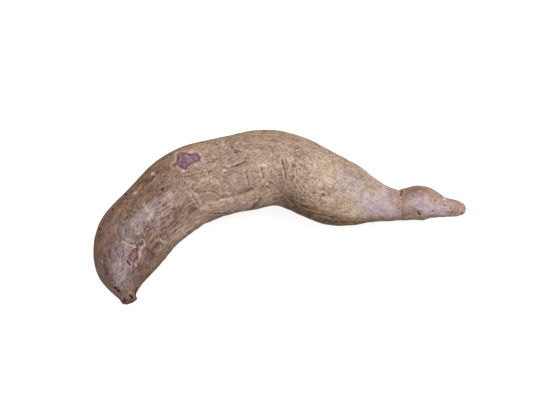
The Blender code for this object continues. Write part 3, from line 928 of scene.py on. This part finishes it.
def skin_material(groups):
    """Brown corky skin with fibre lines, a lilac bloom with painted sheen, and purple flesh where it is
    rubbed off.
    """
    material, nodes, shader = new_material("sweet_potato_skin")
    ranged, mixed, coated, times, field = nodes.ranged, nodes.mixed, nodes.coated, nodes.times, nodes.field
    grain, place = field("grain", "Vector"), nodes.place()

    def clouds(size, seed, detail=3.0):
        return nodes.use(groups["mottle"], Place=place, Length=size, Width=size, Seed=seed, Detail=detail)

    def fibres(length, width, seed, sway, detail=2.0):
        inputs = {"Place": grain, "Length": length, "Width": width, "Seed": seed, "Sway": sway}
        return nodes.use(groups["mottle"], **inputs, Detail=detail)

    def ragged(mask, size, roughness, softness=0.12):
        inputs = {"Mask": mask, "Place": place, "Size": size, "Roughness": roughness}
        return nodes.use(groups["ragged"], **inputs, Softness=softness)

    # Cork, darker and paler by region, cloud and fibre
    streaky, curly = field("streaky"), field("curly")
    fine_fibres = fibres(9.5, 0.64, 1.0, 3.2)
    short_fibres = fibres(5.0, 0.95, 2.0, 9.0)
    ramp = nodes.add("ShaderNodeValToRGB", {0: nodes.summed(
        field("pale"),
        (clouds(16.0, 1.0), 0.06),
        (clouds(5.0, 2.0), 0.06),
        (clouds(1.5, 3.0, 2.0), 0.10),
        (times(fine_fibres, streaky), 0.13),
        (times(fibres(26.0, 2.6, 3.0, 2.0), streaky), 0.06),
        (times(short_fibres, curly), 0.29),
        (field("crest"), 0.13),
        # Painted shade: darker in the hollows of the relief.
        (field("hollow"), -0.19),
    )})
    stops = ramp.color_ramp.elements
    stops[0].color, stops[-1].color = CORK[0][1], CORK[-1][1]
    for position, shade in CORK[1:-1]:
        stops.new(position).color = shade
    colour = coated(
        ramp.outputs["Color"],
        (ranged(clouds(9.0, 4.0), -0.2, 1.0, 0.0, 0.30), tone(152, 136, 126)),
        (ranged(clouds(7.0, 5.0), 0.0, 1.0, 0.0, 0.30), tone(176, 142, 110)),
    )
    colour = mixed(field("warm"), colour, tone(250, 230, 206), "MULTIPLY")

    # Rosy skin, lilac bloom with painted sheen, and painted shade low down
    rosy = times(field("rosy"), ranged(clouds(3.0, 7.0), -0.8, 0.6, 0.35, 1.0))
    core = field("lilac")
    gaps = times(streaky, ranged(fine_fibres, -0.9, 0.3, 0.5, 0.0))
    lilac = times(ragged(core, 4.5, 0.8, 0.5), ranged(core, 0.0, 0.4))
    lilac = times(lilac, nodes.maths("SUBTRACT", 0.78, gaps))
    lilac = times(lilac, ranged(clouds(1.3, 21.0, 2.0), -0.7, 0.1, 0.5, 1.0))
    # Lilac bloom with painted sheen; its palest, whitish tone is a painted highlight.
    bloom_and_sheen = mixed(ranged(core, 0.5, 1.2), tone(200, 184, 194), tone(180, 158, 180))
    bloom_and_sheen = mixed(ranged(clouds(3.2, 17.0), -0.4, 0.8, 0.0, 0.6), bloom_and_sheen, tone(218, 204, 216))
    # Painted shade: warm dark brown low down, near the table and on the lower side of the belly; the fibre
    # colours below also change with it.
    soil = times(field("soil"), ranged(clouds(6.0, 12.0), -0.6, 0.8, 0.35, 0.9))
    colour = coated(colour, (times(rosy, 0.6), tone(190, 146, 144)), (lilac, bloom_and_sheen))
    colour = coated(colour, (soil, tone(102, 69, 44)))

    # Single fibres, the net, specks, plates, pale lines and rusty patches
    dark_fibre = times(ranged(fibres(11.0, 0.7, 5.0, 3.2), -0.25, -0.6), streaky)
    furrow = mixed(soil, tone(98, 60, 67), tone(50, 33, 22))
    pale_fibre = times(ranged(fibres(5.4, 0.8, 6.0, 8.0, 1.0), 0.35, 0.65), curly)
    pale_fibre = nodes.maths("MAXIMUM", pale_fibre, times(ranged(fine_fibres, 0.3, 0.65), streaky))
    strand = mixed(lilac, tone(225, 208, 180), tone(222, 210, 218))
    strand = mixed(soil, strand, tone(206, 178, 134))
    net = nodes.use(groups["net"], Grain=grain, Length=4.2, Width=2.1, Line=0.14)
    net = times(net, times(curly, ranged(clouds(4.0, 15.0), -0.6, 0.6, 0.1, 0.6)))
    speck = ranged(clouds(0.9, 6.0, 1.0), -0.55, -0.9, 0.0, 0.6)
    speck = times(speck, ranged(curly, 0.0, 0.8, 0.3, 1.0))
    plate = times(ragged(field("plate"), 1.6, 0.5), ranged(clouds(2.4, 18.0), -0.8, 0.6, 0.2, 0.6))
    pale_line = times(field("pale_line"), ranged(clouds(1.2, 9.0), -0.6, 0.5, 0.4, 1.0))
    pale_line = nodes.summed(pale_line, (field("halo"), ranged(clouds(1.1, 19.0), 0.0, 0.6, 0.0, 0.6)))
    colour = coated(
        colour,
        (times(dark_fibre, ranged(soil, 0.0, 0.6, 0.5, 0.75)), furrow),
        (times(pale_fibre, ranged(streaky, 0.2, 0.9, 0.74, 0.24)), strand),
        (net, tone(222, 200, 174)),
        (speck, tone(84, 60, 54)),
        (plate, tone(154, 134, 118)),
        (pale_line, tone(222, 196, 176)),
        (times(ragged(field("rust"), 1.0, 0.7), 0.8), tone(116, 80, 75)),
    )

    # Purple flesh, purple streaks, the stem scar, pits and cracks, pale dots
    flesh = ragged(field("flesh"), 0.9, 0.95, 0.10)
    flesh_colour = coated(
        mixed(ranged(clouds(4.5, 10.0, 2.0), -0.5, 0.5), tone(160, 115, 118), tone(128, 92, 112)),
        (ranged(clouds(1.8, 11.0), 0.0, 0.8, 0.0, 0.8), tone(180, 152, 164)),
        (ranged(clouds(1.8, 16.0), 0.0, -0.8, 0.0, 0.8), tone(106, 72, 86)),
        (times(field("flesh_rim"), ranged(clouds(1.2, 20.0), -0.6, 0.4, 0.3, 1.0)), tone(80, 50, 62)),
    )
    depth = field("dark")
    shade = mixed(ranged(depth, 0.4, 0.85), tone(96, 70, 64), tone(34, 17, 23))
    colour = coated(
        colour,
        (flesh, flesh_colour),
        (times(ragged(field("purple_line"), 0.9, 0.5), 0.78), tone(88, 56, 76)),
        (times(ragged(field("scar"), 0.9, 0.5), 0.6), tone(112, 88, 78)),
        (times(ragged(depth, 0.7, 0.45, 0.25), 0.95), shade),
        (times(field("dot"), 0.9), tone(238, 216, 200)),
    )

    rough = nodes.summed(0.70, (lilac, -0.16), (flesh, -0.15), (clouds(2.0, 13.0), 0.06))
    relief = nodes.summed(
        times(short_fibres, times(curly, 0.5)),
        (times(fine_fibres, streaky), 0.5),
        (dark_fibre, -0.8),
        (pale_fibre, 0.6),
        (net, 0.9),
        (clouds(0.8, 14.0, 2.0), 0.35),
    )
    finish = {"Base Color": colour, "Roughness": rough, "Specular IOR Level": 0.16}
    nodes.fill(shader, finish | {"Normal": nodes.bump(relief, 0.8, 0.16)})
    return material


def plain_material(name, colour, dark_colour, roughness, size, groups):
    """Dry matter in two tones: rootlet stubs, pores and flakes."""
    material, nodes, shader = new_material(name)
    mottle = nodes.use(groups["mottle"], Place=nodes.place(), Length=size, Width=size, Seed=2.0)
    colour = nodes.mixed(nodes.ranged(mottle, -0.6, 0.6), colour, dark_colour)
    relief = nodes.bump(mottle, 0.4, 0.08)
    nodes.fill(shader, {"Base Color": colour, "Roughness": roughness, "Normal": relief})
    return material


# Small pieces on the skin


def pieces_tree(name, shape, chance=None):
    """A tree that sets a shape on the skin, turned along the root. With a chance, the name of a field, it
    scatters the shape over the faces. Without one it sets a shape on each point, which brings its own facing
    and size."""
    nodes = Nodes(bpy.data.node_groups.new(name, "GeometryNodeTree"))
    numbers = ("Per square centimetre", "Smallest", "Largest", "Width", "Height", "Spin", "Lean")
    inputs = {"Skin": GEOMETRY, **dict.fromkeys(numbers, NUMBER), "Seed": "NodeSocketInt",
              "Material": "NodeSocketMaterial"}
    for label, kind in inputs.items():
        nodes.tree.interface.new_socket(label, in_out="INPUT", socket_type=kind)
    nodes.tree.interface.new_socket("Pieces", in_out="OUTPUT", socket_type=GEOMETRY)
    into, out = nodes.add("NodeGroupInput").outputs, nodes.add("NodeGroupOutput")
    times = nodes.times

    def attribute(label, kind):
        return nodes.add("GeometryNodeInputNamedAttribute", {0: label}, data_type=kind).outputs[0]

    def random(low, high, seed):
        inputs = {2: low, 3: high, "Seed": seed}
        return nodes.add("FunctionNodeRandomValue", inputs, data_type="FLOAT").outputs[1]

    size = random(into["Smallest"], into["Largest"], 2)
    if chance:
        density = times(times(into["Per square centimetre"], 10000.0), attribute(chance, "FLOAT"))
        inputs = {0: into["Skin"], 4: density, "Seed": into["Seed"]}
        spread = nodes.add("GeometryNodeDistributePointsOnFaces", inputs)
        points, facing = spread.outputs["Points"], spread.outputs["Normal"]
    else:
        points, facing = into["Skin"], attribute("facing", "FLOAT_VECTOR")
        size = times(attribute("size", "FLOAT"), size)
    upright = nodes.add("FunctionNodeAlignRotationToVector", {"Vector": facing}, axis="Z").outputs[0]
    inputs = {"Rotation": upright, "Vector": attribute("run", "FLOAT_VECTOR")}
    along = nodes.add("FunctionNodeAlignRotationToVector", inputs, axis="X", pivot_axis="Z").outputs[0]
    reaches = ((into["Lean"], 3), (into["Lean"], 4), (into["Spin"], 5))
    angles = [random(times(reach, -1.0), reach, seed) for reach, seed in reaches]
    tilt = nodes.add("FunctionNodeEulerToRotation", {0: nodes.combined(*angles)}).outputs[0]
    pose = nodes.add("FunctionNodeRotateRotation", {0: along, 1: tilt}, rotation_space="LOCAL").outputs[0]
    size = times(size, MM)
    sizes = nodes.combined(size, times(size, into["Width"]), times(size, into["Height"]))
    smooth = nodes.add("GeometryNodeSetShadeSmooth", {0: shape(nodes)}).outputs[0]
    set_on = {"Points": points, "Instance": smooth, "Rotation": pose, "Scale": sizes}
    pieces = nodes.add("GeometryNodeInstanceOnPoints", set_on).outputs[0]
    pieces = nodes.add("GeometryNodeRealizeInstances", {0: pieces}).outputs[0]
    pieces = nodes.add("GeometryNodeSetMaterial", {0: pieces, "Material": into["Material"]}).outputs[0]
    nodes.fill(out, {"Pieces": pieces})
    return nodes.tree


def pore(nodes):
    """A flat round spot."""
    return nodes.add("GeometryNodeMeshIcoSphere", {"Radius": 0.5, "Subdivisions": 1}).outputs[0]


def flake(nodes):
    """A thin bent strand, pointed at both ends and closed."""
    bow = {"Resolution": 5, "Start": (-0.5, 0.0, 0.0), "Middle": (0.05, 0.22, 0.09), "End": (0.5, 0.0, 0.0)}
    line = nodes.add("GeometryNodeCurveQuadraticBezier", bow).outputs[0]
    share = nodes.add("GeometryNodeSplineParameter").outputs["Factor"]
    taper = nodes.times(share, nodes.maths("SUBTRACT", 1.0, share))
    taper = nodes.maths("MULTIPLY_ADD", taper, 3.4, 0.15)
    circle = {"Resolution": 4, "Radius": 0.075}
    ring = nodes.add("GeometryNodeCurvePrimitiveCircle", circle, mode="RADIUS").outputs[0]
    strand = {"Curve": line, "Profile Curve": ring, "Scale": taper, "Fill Caps": True}
    return nodes.add("GeometryNodeCurveToMesh", strand).outputs[0]


def stub(nodes):
    """The broken end of a side root: a short cone with an uneven top."""
    sizes = {"Vertices": 9, "Side Segments": 3, "Radius Top": 0.30, "Radius Bottom": 0.52, "Depth": 1.0}
    cone = nodes.add("GeometryNodeMeshCone", sizes).outputs[0]
    reach = {0: (-0.07, -0.07, -0.12), 1: (0.07, 0.07, 0.08)}
    uneven = nodes.add("FunctionNodeRandomValue", reach, data_type="FLOAT_VECTOR").outputs[0]
    sunk = nodes.vector("ADD", uneven, (0.0, 0.0, -0.35))
    return nodes.add("GeometryNodeSetPosition", {0: cone, "Offset": sunk}).outputs[0]


def stub_points():
    """A mesh of loose points where side roots broke off above the skin."""
    along, around, size = np.array([(pit.along, pit.around, pit.size) for pit in STUBS], float).T
    here = skin_point(along, around)
    run = unit(skin_point(along + 0.5, around) - here)
    beside = unit(skin_point(along, around + 1.0) - here)
    mesh = bpy.data.meshes.new("stub_places")
    mesh.from_pydata(here * MM, [], [])
    mesh.attributes.new("size", "FLOAT", "POINT").data.foreach_set("value", size.astype(np.float32))
    set_vectors(mesh, facing=np.cross(run, beside), run=run)
    return mesh


def grown(name, source, tree, material, **values):
    """The pieces that a tree sets on this mesh, as one plain mesh that rides with the root."""
    piece = bpy.data.objects.new(name, source)
    bpy.context.scene.collection.objects.link(piece)
    modifier = piece.modifiers.new(name, "NODES")
    modifier.node_group = tree
    values["Material"] = material
    for item in tree.interface.items_tree:
        if item.in_out == "INPUT" and item.name.replace(" ", "_") in values:
            modifier[item.identifier] = values[item.name.replace(" ", "_")]
    mesh = bpy.data.meshes.new_from_object(piece.evaluated_get(bpy.context.evaluated_depsgraph_get()))
    piece.modifiers.clear()
    mesh.name = name
    piece.data = mesh
    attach(piece, "root")
    return piece


# Stage


def build_table():
    """A white table that gives off some light and leaves no colour on the root."""
    bpy.ops.mesh.primitive_plane_add(size=TABLE_SIZE, location=(0.0, 0.0, 0.0))
    floor = bpy.context.object
    floor.name = "table"
    material, nodes, shader = new_material("white_table")
    glow = {"Emission Color": WHITE, "Emission Strength": TABLE_GLOW}
    nodes.fill(shader, {"Base Color": TABLE_GREY, "Roughness": 0.9, "Specular IOR Level": 0.1} | glow)
    floor.data.materials.append(material)
    floor.visible_diffuse = False
    floor.visible_glossy = False


def light_room():
    """A white room that is dimmer low down, and soft lamps."""
    world = bpy.data.worlds.new("soft_room")
    bpy.context.scene.world = world
    world.use_nodes = True
    nodes = Nodes(world.node_tree)
    facing = nodes.add("ShaderNodeTexCoord").outputs["Generated"]
    height = nodes.add("ShaderNodeSeparateXYZ", {0: facing}).outputs["Z"]
    strength = nodes.ranged(height, -0.6, 0.2, *ROOM_LIGHT)
    nodes.fill(world.node_tree.nodes["Background"], {"Strength": strength, "Color": WHITE})
    for name, place, watts in LIGHTS:
        data = bpy.data.lights.new(name, "AREA")
        data.shape = "DISK"
        data.size = LIGHT_SIZE
        data.energy = watts
        lamp = bpy.data.objects.new(name, data)
        lamp.location = place
        lamp.rotation_euler = (LIGHT_AIM - Vector(place)).to_track_quat("-Z", "Y").to_euler()
        bpy.context.scene.collection.objects.link(lamp)


def place_camera():
    camera = bpy.data.cameras.new("camera")
    camera.lens = LENS
    camera.sensor_width = 36.0
    camera.clip_start = 0.01
    view = bpy.data.objects.new("camera", camera)
    looking = Vector((0.0, math.cos(LOOKS_DOWN), -math.sin(LOOKS_DOWN)))
    view.location = CAMERA_TARGET - CAMERA_DISTANCE * looking
    view.rotation_euler = (math.pi / 2 - LOOKS_DOWN, 0.0, 0.0)
    bpy.context.scene.collection.objects.link(view)
    bpy.context.scene.camera = view
    bpy.context.scene.view_settings.view_transform = "Standard"
    bpy.context.scene.view_settings.look = "None"


def main():
    groups = {"mottle": mottle_group(), "net": net_group(), "ragged": ragged_group()}
    build_table()
    light_room()
    place_camera()
    skin = grow_skin()
    skin.materials.append(skin_material(groups))
    root = bpy.data.objects.new("root_skin", skin)
    bpy.context.scene.collection.objects.link(root)
    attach(root, "root")
    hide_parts("sweet_potato")

    stub_wood = plain_material("broken_side_root", tone(86, 66, 66), tone(42, 29, 35), 0.75, 0.7, groups)
    pore_cork = plain_material("dark_pore", tone(96, 70, 62), tone(52, 36, 36), 0.8, 0.8, groups)
    dry_flake = plain_material("dry_flake", tone(226, 204, 178), tone(182, 154, 130), 0.7, 3.0, groups)
    grown("side_root_stubs", stub_points(), pieces_tree("side_root_stubs", stub), stub_wood,
          Smallest=0.9, Largest=1.25, Width=0.9, Height=0.75, Spin=3.0, Lean=0.35)
    grown("pores", skin, pieces_tree("pores", pore, "porous"), pore_cork, Per_square_centimetre=1.1,
          Smallest=0.35, Largest=1.1, Width=0.8, Height=0.28, Spin=3.0, Lean=0.1, Seed=5)
    grown("dry_flakes", skin, pieces_tree("dry_flakes", flake, "flaky"), dry_flake, Per_square_centimetre=6.0,
          Smallest=1.0, Largest=2.8, Width=1.3, Height=0.35, Spin=0.7, Lean=0.04, Seed=8)


main()
